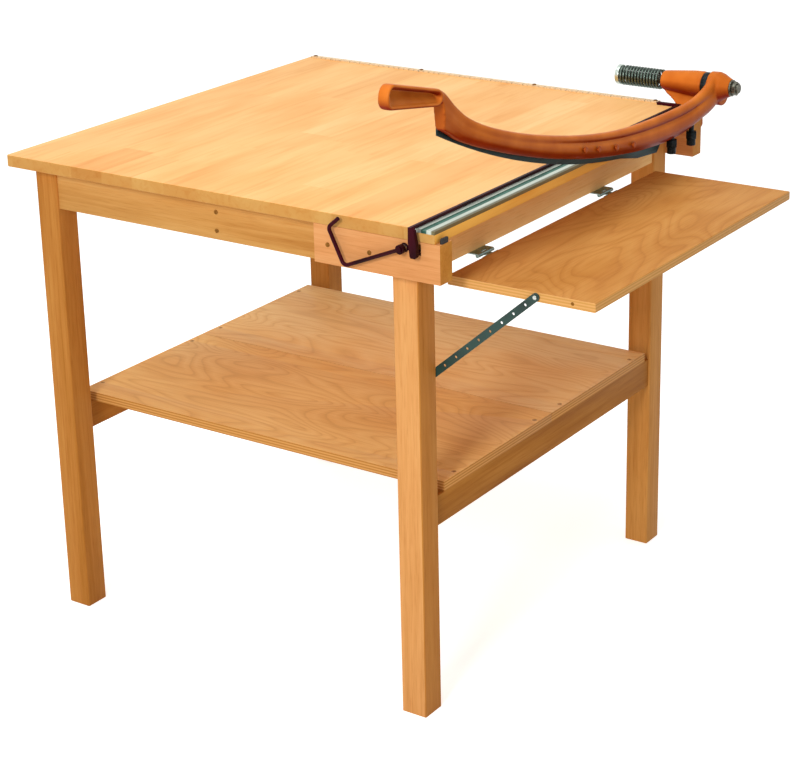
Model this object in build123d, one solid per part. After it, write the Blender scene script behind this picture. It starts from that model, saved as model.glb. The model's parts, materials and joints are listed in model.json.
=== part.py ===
from build123d import *
import os
from math import atan2, cos, degrees, radians, sin, sqrt

# Table-mounted guillotine paper cutter with a folding side shelf.
# Millimetres. While it is built, X runs to the right from the table top's left edge,
# Y runs back from its front edge, and Z is the height over the floor.
# The last step moves everything so that the origin is the middle of the footprint.

# Table top
TOP_WIDTH = 938.0
TOP_DEPTH = 940.0
TOP_HEIGHT = 914.0
TOP_THICK = 22.0
TOP_EDGE_ROUND = 1.5

# Legs and aprons
LEG_SIDE = 50.0
OVERHANG_FRONT = 35.0
OVERHANG_LEFT = 36.0
OVERHANG_RIGHT = 58.0
OVERHANG_BACK = 33.0
LEG_CHAMFER = 1.5
APRON_THICK = 20.0
APRON_HEIGHT = 78.0
APRON_RECESS = 4.0
CORNER_BLOCK_LEG = 55.0
CORNER_BLOCK_HEIGHT = 50.0

# Lower shelf
SHELF_TOP_Z = 424.0
SHELF_THICK = 18.0
SHELF_LEG_GAP = 26.0
SHELF_BACK_GAP = 15.0
SHELF_SEAM = 1.0
STRETCHER_HEIGHT = 56.0
STRETCHER_THICK = 20.0
CROSS_RAIL_WIDTH = 40.0

# Boards that carry the cutter
FRONT_BOARD_LENGTH = 250.0
FRONT_BOARD_HEIGHT = 67.0
FRONT_BOARD_OVERLAP = 10.0
BACK_BOARD_LENGTH = 180.0
BACK_BOARD_HEIGHT = 70.0

# Bed knife and back rule
BED_WIDTH = 38.0
BED_THICK = 6.0
BED_GROOVE_WIDTH = 9.0
BED_GROOVE_DEPTH = 1.2
BED_SCREWS = 6
RULE_WIDTH = 12.0
RULE_THICK = 3.0
RULE_LEFT = 8.0
RULE_RIGHT = 850.0
RULE_BACK_GAP = 2.0

# Knife arm
PIVOT_BEHIND_TOP = 18.0
PIVOT_ABOVE_TOP = 40.0
ARM_WIDTH = 32.0
ARM_TOP_RADIUS = 1760.0
ARM_BOTTOM_RADIUS = 2091.0
BLADE_EDGE_RADIUS = 1979.0
ARM_EDGE_ROUND = 9.0
HUB_RADIUS = 30.0
HUB_BOSS_RADIUS = 21.0
HUB_BOSS_LENGTH = 14.0
BLADE_THICK = 3.5
BLADE_GAP = 0.3
BLADE_BEVEL = 7.0
BLADE_BOLT_SHARES = (0.566, 0.515, 0.448, 0.380)
BLADE_SCREW_SHARES = (0.93, 0.72, 0.26)
HANDLE_LENGTH = 154.0
HANDLE_HEIGHT = 38.0
HANDLE_WALL = 7.5
GRIP_WIDTH = 22.0
GRIP_WEB = 8.0
HANDLE_TILT = -12.2

# Pivot bracket, shaft and balance spring
BARREL_RADIUS = 26.0
BARREL_LENGTH = 84.0
SHAFT_RADIUS = 9.0
BUSH_WALL = 3.0
BUSH_LENGTH = 26.0
RUNNING_GAP = 0.05
THRUST_GAP = 0.3
THRUST_WASHER_THICK = 4.6
SPRING_RADIUS = 17.5
SPRING_WIRE = 2.4
SPRING_PITCH = 6.6
SPRING_TURNS = 13
COLLAR_THICK = 8.0

# Paper clamp
BAR_WIDTH = 8.0
RAIL_WIDTH = 5.0
BAR_THICK = 5.0
BAR_REST_GAP = 0.5
BAR_LIFT = 10.0
CLAMP_PLANE_Y = -12.0
LEVER_ROD_RADIUS = 3.4
LEVER_EYE_THICK = 8.0
FOOT_RADIUS = 4.0
CLAMP_SHAFT_RADIUS = 5.0

# Folding side shelf
WING_WIDTH = 278.0
WING_LENGTH = 730.0
WING_THICK = 16.0
WING_LEG_GAP = 3.0
WING_GAP = 24.0
HINGE_LENGTH = 50.0
HINGE_LEAF = 2.0
HINGE_BARREL = 3.5
HINGE_PIN = 1.75
STAY_WIDTH = 14.0
STAY_THICK = 2.0
STAY_HOLE = 2.5
STAY_HEAD_RADIUS = 3.6
STAY_UPPER_REACH = 181.0
STAY_DROP = 187.0
STAY_HOLES = 9

# Places worked out from the sizes above
TOP_UNDER = TOP_HEIGHT - TOP_THICK
LEG_X = (OVERHANG_LEFT, TOP_WIDTH - OVERHANG_RIGHT - LEG_SIDE)
LEG_Y = (OVERHANG_FRONT, TOP_DEPTH - OVERHANG_BACK - LEG_SIDE)
FRAME_RIGHT = LEG_X[1] + LEG_SIDE
LEG_BACK_FACE = LEG_Y[0] + LEG_SIDE
APRON_UNDER = TOP_UNDER - APRON_HEIGHT
STRETCHER_TOP = SHELF_TOP_Z - SHELF_THICK
BOARD_RIGHT = TOP_WIDTH + FRONT_BOARD_OVERLAP
BOARD_UNDER = TOP_UNDER - FRONT_BOARD_HEIGHT
BED_LEFT = TOP_WIDTH - BED_WIDTH
GROOVE_X = BED_LEFT + 0.45 * BED_WIDTH
BLADE_X = TOP_WIDTH + BLADE_GAP
ARM_X = BLADE_X + BLADE_THICK
PIVOT_Y = TOP_DEPTH + PIVOT_BEHIND_TOP
PIVOT_Z = TOP_HEIGHT + PIVOT_ABOVE_TOP
ARM_REACH = PIVOT_Y - 8.0
CENTRE_X = (LEG_X[0] + FRAME_RIGHT) / 2


def box(x, y, z):
    """Block between two numbers on each axis."""
    size = [pair[1] - pair[0] for pair in (x, y, z)]
    return Pos(x[0], y[0], z[0]) * Box(*size, align=(Align.MIN, Align.MIN, Align.MIN))


def rod(start, direction, radius, length):
    """Round bar from a start point along a direction."""
    plane = Plane(origin=start, z_dir=direction)
    return plane * Cylinder(radius, length, align=(Align.CENTER, Align.CENTER, Align.MIN))


def cross_slot(face, out, head_radius, top, depth):
    """Cross-shaped driver recess at a height over a face."""
    long, narrow = 1.15 * head_radius, 0.26 * head_radius
    cross = Box(long, narrow, 2 * depth) + Box(narrow, long, 2 * depth)
    return Plane(origin=face, z_dir=out) * Pos(0, 0, top) * cross


def screw(face, into, head_radius, head_height, shank_radius, length):
    """Round-headed screw whose head sits on a face and whose shank runs into it."""
    out = (-into[0], -into[1], -into[2])
    head = rod(face, out, head_radius, head_height)
    head -= cross_slot(face, out, head_radius, head_height, head_height / 2)
    return head + rod(face, into, shank_radius, length)


def flush_screw(face, into, head_radius, shank_radius, length):
    """Countersunk screw, its cone flush with the face."""
    profile = [(0, 0), (head_radius, 0), (shank_radius, head_radius), (shank_radius, length), (0, length)]
    points = [(r, 0, z) for r, z in profile]
    return Plane(origin=face, z_dir=into) * revolve(make_face(Polyline(*points, close=True)), Axis.Z)


def slotted(screws, out, head_radius):
    """The same flush screws with a cross-shaped driver recess in each head."""
    done = []
    for item in screws:
        low, high = item.bounding_box().min, item.bounding_box().max
        ends = [high if step > 0 else low for step in out]
        middle = item.bounding_box().center()
        face = (
            ends[0].X if out[0] else middle.X,
            ends[1].Y if out[1] else middle.Y,
            ends[2].Z if out[2] else middle.Z,
        )
        done.append(item - cross_slot(face, out, head_radius, 0, 0.9))
    return done


def hexagon(start, direction, across, thick):
    """Hexagonal head or nut, with its size across the flats."""
    plane = Plane(origin=start, z_dir=direction)
    return plane * extrude(RegularPolygon(across / 2, 6, major_radius=False), thick)


def side_plate(outline, x_low, x_high):
    """Plate with an outline of (y, z) points, between two X values."""
    face = make_face(Plane.YZ * Polyline(*outline, close=True))
    return Pos(x_low, 0, 0) * extrude(face, x_high - x_low, dir=(1, 0, 0))


def front_plate(outline, y_low, y_high):
    """Plate with an outline of (x, z) points, between two Y values."""
    points = [(x, 0, z) for x, z in outline]
    face = make_face(Polyline(*points, close=True))
    return Pos(0, y_low, 0) * extrude(face, y_high - y_low, dir=(0, 1, 0))


def cut(piece, *others):
    """The piece without the material that the others take."""
    for other in others:
        piece = piece - other
    return piece


parts = {}

# ---------------------------------------------------------------- wooden frame


def make_legs():
    """Four square legs, up to the underside of the top."""
    legs = {}
    for front_back, y in zip(("front", "back"), LEG_Y):
        for side, x in zip(("left", "right"), LEG_X):
            leg = box((x, x + LEG_SIDE), (y, y + LEG_SIDE), (0, TOP_UNDER))
            upright = leg.edges().filter_by(Axis.Z)
            legs[f"leg_{front_back}_{side}"] = chamfer(upright, LEG_CHAMFER)
    return legs


def make_aprons():
    """Four rails between the legs and one rail from front to back in the middle."""
    z = (APRON_UNDER, TOP_UNDER)
    along_x = (LEG_X[0] + LEG_SIDE, LEG_X[1])
    along_y = (LEG_BACK_FACE, LEG_Y[1])
    front_y = LEG_Y[0] + APRON_RECESS
    back_y = LEG_Y[1] + LEG_SIDE - APRON_RECESS
    left_x = LEG_X[0] + APRON_RECESS
    right_x = FRAME_RIGHT - APRON_RECESS
    middle = (CENTRE_X - APRON_THICK / 2, CENTRE_X + APRON_THICK / 2)
    return {
        "front_apron": box(along_x, (front_y, front_y + APRON_THICK), z),
        "back_apron": box(along_x, (back_y - APRON_THICK, back_y), z),
        "left_apron": box((left_x, left_x + APRON_THICK), along_y, z),
        "right_apron": box((right_x - APRON_THICK, right_x), along_y, z),
        "centre_rail": box(middle, (front_y + APRON_THICK, back_y - APRON_THICK), z),
    }


def make_corner_blocks():
    """Three-cornered glue blocks behind each leg, inside the aprons."""
    inner_x = (LEG_X[0] + APRON_RECESS + APRON_THICK, FRAME_RIGHT - APRON_RECESS - APRON_THICK)
    inner_y = (LEG_Y[0] + APRON_RECESS + APRON_THICK, LEG_Y[1] + LEG_SIDE - APRON_RECESS - APRON_THICK)
    legs = make_legs().values()
    z_low = TOP_UNDER - CORNER_BLOCK_HEIGHT
    reach = LEG_SIDE + CORNER_BLOCK_LEG - APRON_THICK
    blocks = []
    for x, step_x in zip(inner_x, (1, -1)):
        for y, step_y in zip(inner_y, (1, -1)):
            corners = [(x, y), (x + step_x * reach, y), (x, y + step_y * reach)]
            face = make_face(Polyline(*corners, close=True))
            block = Pos(0, 0, z_low) * extrude(face, CORNER_BLOCK_HEIGHT, dir=(0, 0, 1))
            blocks.append(cut(block, *legs))
    return blocks


def make_lower_shelf():
    """Two plywood panels on two side stretchers and a rail under their seam."""
    x = (LEG_X[0] + APRON_RECESS, FRAME_RIGHT - APRON_RECESS)
    y = (LEG_BACK_FACE + SHELF_LEG_GAP, LEG_Y[1] - SHELF_BACK_GAP)
    z = (STRETCHER_TOP, SHELF_TOP_Z)
    seam = (y[0] + y[1]) / 2
    span = (LEG_BACK_FACE, LEG_Y[1])
    stretcher_z = (STRETCHER_TOP - STRETCHER_HEIGHT, STRETCHER_TOP)
    inner_x = (x[0] + STRETCHER_THICK, x[1] - STRETCHER_THICK)
    half_rail = CROSS_RAIL_WIDTH / 2
    pieces = {
        "lower_shelf_front": box(x, (y[0], seam - SHELF_SEAM / 2), z),
        "lower_shelf_back": box(x, (seam + SHELF_SEAM / 2, y[1]), z),
        "shelf_stretcher_left": box((x[0], inner_x[0]), span, stretcher_z),
        "shelf_stretcher_right": box((inner_x[1], x[1]), span, stretcher_z),
        "shelf_cross_rail": box(inner_x, (seam - half_rail, seam + half_rail), stretcher_z),
    }
    middles = ((x[0] + inner_x[0]) / 2, (inner_x[1] + x[1]) / 2)
    rows = (y[0] + 46, seam - 46, seam + 46, y[1] - 46)
    places = [(px, py, SHELF_TOP_Z) for px in middles for py in rows]
    screws = [flush_screw(p, (0, 0, -1), 4.4, 2.1, 44) for p in places]
    return pieces, screws


# ------------------------------------------------- top, bed knife, rule, boards


def make_top():
    """Edge-glued maple top, with a rebate along its right side for the bed knife."""
    top = box((0, TOP_WIDTH), (0, TOP_DEPTH), (TOP_UNDER, TOP_HEIGHT))
    top = fillet(top.edges().filter_by(Axis.Z).sort_by(Axis.X)[:2], 3 * TOP_EDGE_ROUND)
    top = fillet(top.faces().sort_by(Axis.X)[0].edges().filter_by(Axis.Y), TOP_EDGE_ROUND)
    rebate = box((BED_LEFT, TOP_WIDTH), (0, TOP_DEPTH), (TOP_HEIGHT - BED_THICK, TOP_HEIGHT))
    return top - rebate


def make_bed_knife():
    """Hardened bar that the blade shears against, with a sight groove and screws."""
    bed = box((BED_LEFT, TOP_WIDTH), (0, TOP_DEPTH), (TOP_HEIGHT - BED_THICK, TOP_HEIGHT))
    groove = box(
        (GROOVE_X - BED_GROOVE_WIDTH / 2, GROOVE_X + BED_GROOVE_WIDTH / 2),
        (0, TOP_DEPTH),
        (TOP_HEIGHT - BED_GROOVE_DEPTH, TOP_HEIGHT),
    )
    floor_z = TOP_HEIGHT - BED_GROOVE_DEPTH
    pitch = (TOP_DEPTH - 80) / (BED_SCREWS - 1)
    places = [(GROOVE_X, 40 + n * pitch, floor_z) for n in range(BED_SCREWS)]
    screws = [flush_screw(p, (0, 0, -1), 4.0, 2.0, 17) for p in places]
    return cut(bed, groove, *screws), screws


def make_rule():
    """Squaring rule along the back edge, held by four screws."""
    y_high = TOP_DEPTH - RULE_BACK_GAP
    rule = box((RULE_LEFT, RULE_RIGHT), (y_high - RULE_WIDTH, y_high), (TOP_HEIGHT, TOP_HEIGHT + RULE_THICK))
    pitch = (RULE_RIGHT - RULE_LEFT - 16) / 3
    face_z = TOP_HEIGHT + RULE_THICK
    places = [(RULE_LEFT + 8 + n * pitch, y_high - RULE_WIDTH / 2, face_z) for n in range(4)]
    screws = [screw(p, (0, 0, -1), 4.0, 1.6, 1.8, 18) for p in places]
    return cut(rule, *screws), screws


def make_boards():
    """Hardwood boards across the front and back that carry the clamp and the pivot."""
    front = box(
        (BOARD_RIGHT - FRONT_BOARD_LENGTH, BOARD_RIGHT),
        (0, OVERHANG_FRONT),
        (BOARD_UNDER, TOP_UNDER),
    )
    back = box(
        (TOP_WIDTH - BACK_BOARD_LENGTH, TOP_WIDTH),
        (TOP_DEPTH - OVERHANG_BACK, TOP_DEPTH),
        (TOP_UNDER - BACK_BOARD_HEIGHT, TOP_UNDER),
    )
    return front, back


# --------------------------------------------------------------- paper clamp

CLAMP_SHAFT = (FRAME_RIGHT, TOP_HEIGHT - 35.0)
FOOT = (CLAMP_SHAFT[0] + 27.0, TOP_HEIGHT - 40.0)
BAR_X = (BED_LEFT - RAIL_WIDTH / 2, BED_LEFT + RAIL_WIDTH / 2)
BAR_Z = (TOP_HEIGHT + BAR_REST_GAP, TOP_HEIGHT + BAR_REST_GAP + BAR_THICK)
BAR_BACK_Y = TOP_DEPTH - 18.0
POST = (BED_LEFT - 42.0, BAR_BACK_Y - BAR_WIDTH / 2)
CLAMP_Y = (CLAMP_PLANE_Y - BAR_WIDTH / 2, CLAMP_PLANE_Y + BAR_WIDTH / 2)
FOOT_DEPTH = 25.0
FINGER_Y = (15.0, 24.0)
POCKET_Y = 14.0
POST_BOTTOM = TOP_UNDER - 22.0


def make_clamp_bar():
    """Bar along the bed with a leg over the front edge, a foot pin and a back post."""
    bar = box(BAR_X, (CLAMP_Y[0], BAR_BACK_Y), BAR_Z)
    back_arm = box((POST[0] - BAR_WIDTH / 2, BAR_X[1]), (BAR_BACK_Y - BAR_WIDTH, BAR_BACK_Y), BAR_Z)
    leg_outline = [
        (BAR_X[0], BAR_Z[1]),
        (BAR_X[1], BAR_Z[1]),
        (BAR_X[1] + 6, BAR_Z[1] - 5),
        (FOOT[0] + 5.5, FOOT[1] + 17),
        (FOOT[0] + 5.5, FOOT[1] - 3),
        (FOOT[0] + 3, FOOT[1] - 6),
        (FOOT[0] - 5, FOOT[1] - 6),
        (FOOT[0] - 7, FOOT[1] - 3),
        (BAR_X[0] - 0.5, FOOT[1] + 20),
    ]
    leg = front_plate(leg_outline, *CLAMP_Y)
    foot = rod((FOOT[0], CLAMP_Y[1] - 2, FOOT[1]), (0, 1, 0), FOOT_RADIUS, FOOT_DEPTH + 2 - CLAMP_Y[1])
    post = rod((POST[0], POST[1], POST_BOTTOM), (0, 0, 1), FOOT_RADIUS, BAR_Z[0] + 2 - POST_BOTTOM)
    return bar + back_arm + leg + foot + post


def make_clamp_lever():
    """Bent hand lever, its shaft through the front board, and the lifting finger."""
    x, z = CLAMP_SHAFT
    route = [(x, z), (x - 113, z - 47), (x - 143, z + 15), (x - 122, z + 33)]
    points = [(px, CLAMP_PLANE_Y, pz) for px, pz in route]
    path = FilletPolyline(*points, radius=9.0)
    start = Plane(origin=path @ 0, z_dir=path % 0)
    lever = sweep(start * Circle(LEVER_ROD_RADIUS), path)
    eye_y = (CLAMP_PLANE_Y - LEVER_EYE_THICK / 2, CLAMP_PLANE_Y + LEVER_EYE_THICK / 2)
    eye = rod((x, eye_y[0], z), (0, 1, 0), 8.0, LEVER_EYE_THICK)
    shaft = rod((x, eye_y[1], z), (0, 1, 0), CLAMP_SHAFT_RADIUS, FINGER_Y[1] - eye_y[1])
    screw_head = rod((x, eye_y[0] - 2.5, z), (0, 1, 0), 5.0, 2.5)
    fixing = screw_head + rod((x, eye_y[0], z), (0, 1, 0), 2.0, 14.0)
    hub = rod((x, FINGER_Y[0], z), (0, 1, 0), 10.0, FINGER_Y[1] - FINGER_Y[0])
    face_z = FOOT[1] - FOOT_RADIUS - 0.4
    tongue = box((x, FOOT[0] + 5), FINGER_Y, (face_z - 6, face_z))
    finger = cut(hub + tongue, shaft)
    core = rod((x, eye_y[0] - 1, z), (0, 1, 0), 5.0, LEVER_EYE_THICK + 2)
    bore = rod((x, eye_y[0] - 1, z), (0, 1, 0), 2.0, LEVER_EYE_THICK + 2)
    return {
        "clamp_lever": (lever - core) + (eye - bore),
        "clamp_lever_screw": fixing,
        "clamp_shaft": cut(shaft, fixing),
        "clamp_finger": finger,
    }


def clamp_clearances():
    """Holes, slot and pocket that the clamp needs in the wood."""
    x, z = CLAMP_SHAFT
    bush_hole = rod((x, 0, z), (0, 1, 0), CLAMP_SHAFT_RADIUS + BUSH_WALL, POCKET_Y)
    slot_side = FOOT_RADIUS + 0.5
    slot = box(
        (FOOT[0] - slot_side, FOOT[0] + slot_side),
        (0, POCKET_Y),
        (FOOT[1] - slot_side, FOOT[1] + BAR_LIFT + slot_side),
    )
    pocket = box((x - 13, FOOT[0] + 9), (POCKET_Y, OVERHANG_FRONT), (z - 21, TOP_UNDER - 2))
    post_hole = rod(
        (POST[0], POST[1], POST_BOTTOM - 4),
        (0, 0, 1),
        FOOT_RADIUS + 0.08,
        TOP_HEIGHT - POST_BOTTOM + 4,
    )
    bush = rod((x, 0, z), (0, 1, 0), CLAMP_SHAFT_RADIUS + BUSH_WALL, POCKET_Y)
    bush = bush - rod((x, 0, z), (0, 1, 0), CLAMP_SHAFT_RADIUS + RUNNING_GAP, POCKET_Y)
    return [bush_hole, slot, pocket], post_hole, bush


# ----------------------------------------------------------------- knife arm


def on_arc(radius, low_y, low_z, y):
    """Height of an upward-curving arc of a given radius whose lowest point is known."""
    return low_z + radius - sqrt(radius**2 - (y - low_y) ** 2)


def along(fraction):
    """Y of a point at a share of the arm's reach, measured from the pivot."""
    return PIVOT_Y - fraction * ARM_REACH


ARM_TOP_LOW = (along(0.2116), TOP_HEIGHT + 33.0)
ARM_BOTTOM_LOW = (along(0.0842), TOP_HEIGHT - 30.0)
BLADE_LOW = (along(0.0947), TOP_HEIGHT - 41.0)
HANDLE_CENTRE = (along(1.091), TOP_HEIGHT + 238.0)


def top_of_arm(y):
    return on_arc(ARM_TOP_RADIUS, *ARM_TOP_LOW, y)


def bottom_of_arm(y):
    return on_arc(ARM_BOTTOM_RADIUS, *ARM_BOTTOM_LOW, y)


def edge_of_blade(y):
    return on_arc(BLADE_EDGE_RADIUS, *BLADE_LOW, y)


def make_arm_outline():
    """Face of the arm's beam and neck, in the YZ plane."""
    neck_y, mid_y, tail_y = along(0.937), along(0.5), along(0.06)
    heel_y = along(0.999)
    belly_y = along(0.12)
    top_start = (neck_y, top_of_arm(neck_y))
    top_mid = (mid_y, top_of_arm(mid_y))
    top_end = (tail_y, top_of_arm(tail_y))
    bottom_end = (belly_y, bottom_of_arm(belly_y))
    bottom_mid = (mid_y, bottom_of_arm(mid_y))
    bottom_start = (heel_y + 28, bottom_of_arm(heel_y + 28))
    heel = (heel_y, bottom_start[1] + 13)
    throat = (heel_y - 9, heel[1] + 40)
    crown = (heel_y - 36, HANDLE_CENTRE[1] + 3)
    neck_top = (heel_y - 22, HANDLE_CENTRE[1])
    shoulder = (heel_y + 4, HANDLE_CENTRE[1] - 16)
    bend = (heel_y + 26, HANDLE_CENTRE[1] - 39)
    hub_low = (PIVOT_Y - 6, PIVOT_Z - HUB_RADIUS + 1)
    hub_high = (PIVOT_Y - 14, PIVOT_Z + 24)
    lines = (
        Spline(crown, neck_top, shoulder, bend, top_start, tangents=[(1, -0.1), (1, -0.5)])
        + ThreePointArc(top_start, top_mid, top_end)
        + Spline(top_end, hub_high, tangents=[(1, 0.1), (0.3, 1)])
        + Line(hub_high, (PIVOT_Y, PIVOT_Z))
        + Line((PIVOT_Y, PIVOT_Z), hub_low)
        + Spline(hub_low, bottom_end, tangents=[(-1, -0.5), (-1, -0.02)])
        + ThreePointArc(bottom_end, bottom_mid, bottom_start)
        + Line(bottom_start, heel)
        + Line(heel, throat)
        + Line(throat, crown)
    )
    return make_face(Plane.YZ * lines)


def make_arm():
    """Cast arm: beam, neck, hand grip with a finger recess, and pivot hub."""
    beam = Pos(ARM_X, 0, 0) * extrude(make_arm_outline(), ARM_WIDTH, dir=(1, 0, 0))
    hub = rod((ARM_X, PIVOT_Y, PIVOT_Z), (1, 0, 0), HUB_RADIUS, ARM_WIDTH + 4)
    boss = rod((ARM_X, PIVOT_Y, PIVOT_Z), (1, 0, 0), HUB_BOSS_RADIUS, ARM_WIDTH + 4 + HUB_BOSS_LENGTH)
    middle_x = ARM_X + GRIP_WIDTH / 2
    place = Location((middle_x, *HANDLE_CENTRE), (HANDLE_TILT, 0, 0)) * Location(Plane.YZ)
    loop = RectangleRounded(HANDLE_LENGTH, HANDLE_HEIGHT, HANDLE_HEIGHT * 0.45)
    hole_height = HANDLE_HEIGHT - 2 * HANDLE_WALL
    hole = Pos(2, 0) * RectangleRounded(HANDLE_LENGTH - 40, hole_height, hole_height * 0.45)
    handle = place * extrude(loop, GRIP_WIDTH / 2, both=True)
    window = place * Pos(0, 0, GRIP_WEB - GRIP_WIDTH / 2) * extrude(hole, GRIP_WIDTH)
    return beam, hub, boss, handle, window


def make_blade():
    """Curved blade on the arm's inner face, ground on its outer side."""
    front_y, mid_y, rear_y = along(1.0), along(0.65), along(0.37)
    heel_y = along(0.2)
    cover = 26.0
    lower = ThreePointArc(
        (front_y, edge_of_blade(front_y)), (mid_y, edge_of_blade(mid_y)), (rear_y, edge_of_blade(rear_y))
    )
    tail = [
        (rear_y, edge_of_blade(rear_y)),
        (along(0.3), edge_of_blade(along(0.3)) - 7),
        (along(0.22), edge_of_blade(along(0.22)) - 8),
        (heel_y, bottom_of_arm(heel_y)),
        (heel_y, bottom_of_arm(heel_y) + cover),
    ]
    mid_top = (mid_y, bottom_of_arm(mid_y) + cover)
    upper = ThreePointArc(tail[-1], mid_top, (front_y, bottom_of_arm(front_y) + 12))
    front = Line((front_y, bottom_of_arm(front_y) + 12), (front_y, edge_of_blade(front_y)))
    face = make_face(Plane.YZ * (lower + Polyline(*tail) + upper + front))
    blade = Pos(BLADE_X, 0, 0) * extrude(face, BLADE_THICK, dir=(1, 0, 0))
    return blade


def make_blade_bolts():
    """Domed bolts from the arm's outer side, and flush screws from the blade's inner face."""
    bolts = []
    for share in BLADE_BOLT_SHARES:
        y = along(share)
        z = bottom_of_arm(y) + 20
        start = (BLADE_X + BLADE_THICK / 2, y, z)
        shank = rod(start, (1, 0, 0), 3.0, ARM_X + ARM_WIDTH - start[0])
        head = rod((ARM_X + ARM_WIDTH, y, z), (1, 0, 0), 6.0, 2.6)
        head = chamfer(head.edges().filter_by(GeomType.CIRCLE).sort_by(Axis.X)[-1:], 1.2)
        bolts.append(shank + head)
    screws = []
    for share in BLADE_SCREW_SHARES:
        y = along(share)
        screws.append(flush_screw((BLADE_X, y, bottom_of_arm(y) + 8), (1, 0, 0), 3.4, 2.0, 20))
    return bolts, screws


def make_adjusters():
    """Two black set screws with lock nuts under the back of the arm."""
    screws = []
    for share in (0.19, 0.105):
        y = along(share)
        under = bottom_of_arm(y)
        x = ARM_X + ARM_WIDTH / 2
        stem = rod((x, y, under - 20), (0, 0, 1), 5.0, 42)
        head = rod((x, y, under - 24), (0, 0, 1), 8.5, 12)
        nut = hexagon((x, y, under - 11), (0, 0, 1), 19, 14)
        screws.append(stem + head + nut)
    return screws


# ------------------------------------------- pivot bracket, shaft and spring

BARREL_RIGHT = TOP_WIDTH - 8.0
BARREL_LEFT = BARREL_RIGHT - BARREL_LENGTH
SPRING_LENGTH = SPRING_PITCH * SPRING_TURNS
SPRING_RIGHT = BARREL_LEFT - THRUST_GAP - SPRING_WIRE
SPRING_LEFT = SPRING_RIGHT - SPRING_LENGTH
COLLAR_RIGHT = SPRING_LEFT - SPRING_WIRE - THRUST_GAP
SHAFT_LEFT = COLLAR_RIGHT - COLLAR_THICK - 4.0
HUB_RIGHT = ARM_X + ARM_WIDTH + 4 + HUB_BOSS_LENGTH


def make_bracket():
    """Casting on the back edge: a plate, a tapered web and the bearing barrel."""
    plate_x = (TOP_WIDTH - 54, BARREL_RIGHT)
    plate = box(plate_x, (TOP_DEPTH, TOP_DEPTH + 12), (TOP_UNDER - BACK_BOARD_HEIGHT, TOP_HEIGHT + 8))
    web_outline = [
        (BARREL_LEFT + 6, PIVOT_Z - 8),
        (BARREL_RIGHT, PIVOT_Z - 8),
        (BARREL_RIGHT, TOP_UNDER - 20),
        (plate_x[0] + 8, TOP_UNDER - 20),
        (plate_x[0], TOP_HEIGHT - 4),
    ]
    web = front_plate(web_outline, TOP_DEPTH, TOP_DEPTH + 26)
    barrel = rod((BARREL_LEFT, PIVOT_Y, PIVOT_Z), (1, 0, 0), BARREL_RADIUS, BARREL_LENGTH)
    barrel = chamfer(barrel.edges().filter_by(GeomType.CIRCLE).sort_by(Axis.X)[:1], 4.0)
    bore = rod((BARREL_LEFT - 1, PIVOT_Y, PIVOT_Z), (1, 0, 0), SHAFT_RADIUS + 1, BARREL_LENGTH + 2)
    seats = [
        rod((x, PIVOT_Y, PIVOT_Z), (1, 0, 0), SHAFT_RADIUS + BUSH_WALL, BUSH_LENGTH)
        for x in (BARREL_LEFT, BARREL_RIGHT - BUSH_LENGTH)
    ]
    bushes = [cut(seat, rod((BARREL_LEFT - 1, PIVOT_Y, PIVOT_Z), (1, 0, 0), SHAFT_RADIUS + RUNNING_GAP, BARREL_LENGTH + 2)) for seat in seats]
    return cut(plate + web + barrel, bore, *seats), bushes


def make_bracket_bolts():
    """Four hexagon-headed bolts through the plate into the back board."""
    bolts = []
    for x in (TOP_WIDTH - 44, TOP_WIDTH - 18):
        for z in (TOP_UNDER - 32, TOP_UNDER - 58):
            head = hexagon((x, TOP_DEPTH + 12, z), (0, 1, 0), 13, 5.5)
            bolts.append(head + rod((x, TOP_DEPTH - 28, z), (0, 1, 0), 4.0, 40))
    return bolts


def make_pivot():
    """Shaft with its thrust washer, outer washer, nut and spring collar."""
    centre = (PIVOT_Y, PIVOT_Z)
    shaft = rod((SHAFT_LEFT, *centre), (1, 0, 0), SHAFT_RADIUS, HUB_RIGHT + 16 - SHAFT_LEFT)
    washer_x = BARREL_RIGHT + THRUST_GAP
    thrust = rod((washer_x, *centre), (1, 0, 0), BARREL_RADIUS - 1, ARM_X - washer_x)
    outer = rod((HUB_RIGHT, *centre), (1, 0, 0), 16.0, 3.0)
    nut = hexagon((HUB_RIGHT + 3, *centre), (1, 0, 0), 24, 9.0)
    collar = rod((COLLAR_RIGHT - COLLAR_THICK, *centre), (1, 0, 0), SPRING_RADIUS + SPRING_WIRE, COLLAR_THICK)
    return {
        "pivot_shaft": shaft,
        "thrust_washer": cut(thrust, shaft),
        "pivot_washer": cut(outer, shaft),
        "pivot_nut": cut(nut, shaft),
        "spring_collar": cut(collar, shaft),
    }


def make_spring():
    """Torsion spring around the shaft, from the collar to the barrel."""
    path = Helix(SPRING_PITCH, SPRING_LENGTH, SPRING_RADIUS, center=(SPRING_LEFT, PIVOT_Y, PIVOT_Z), direction=(1, 0, 0))
    start = Plane(origin=path @ 0, z_dir=path % 0)
    return sweep(start * Circle(SPRING_WIRE), path, is_frenet=True)


def make_stop_pad():
    """Rubber pad on the front board, where the closed arm lands."""
    pad_x = (ARM_X + 0.5, BOARD_RIGHT - 0.3)
    pad = box(pad_x, (7, 27), (TOP_UNDER, TOP_UNDER + 9))
    return fillet(pad.edges().filter_by(Axis.Z), 2.4)


# ------------------------------------------------------------- folding shelf

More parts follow.
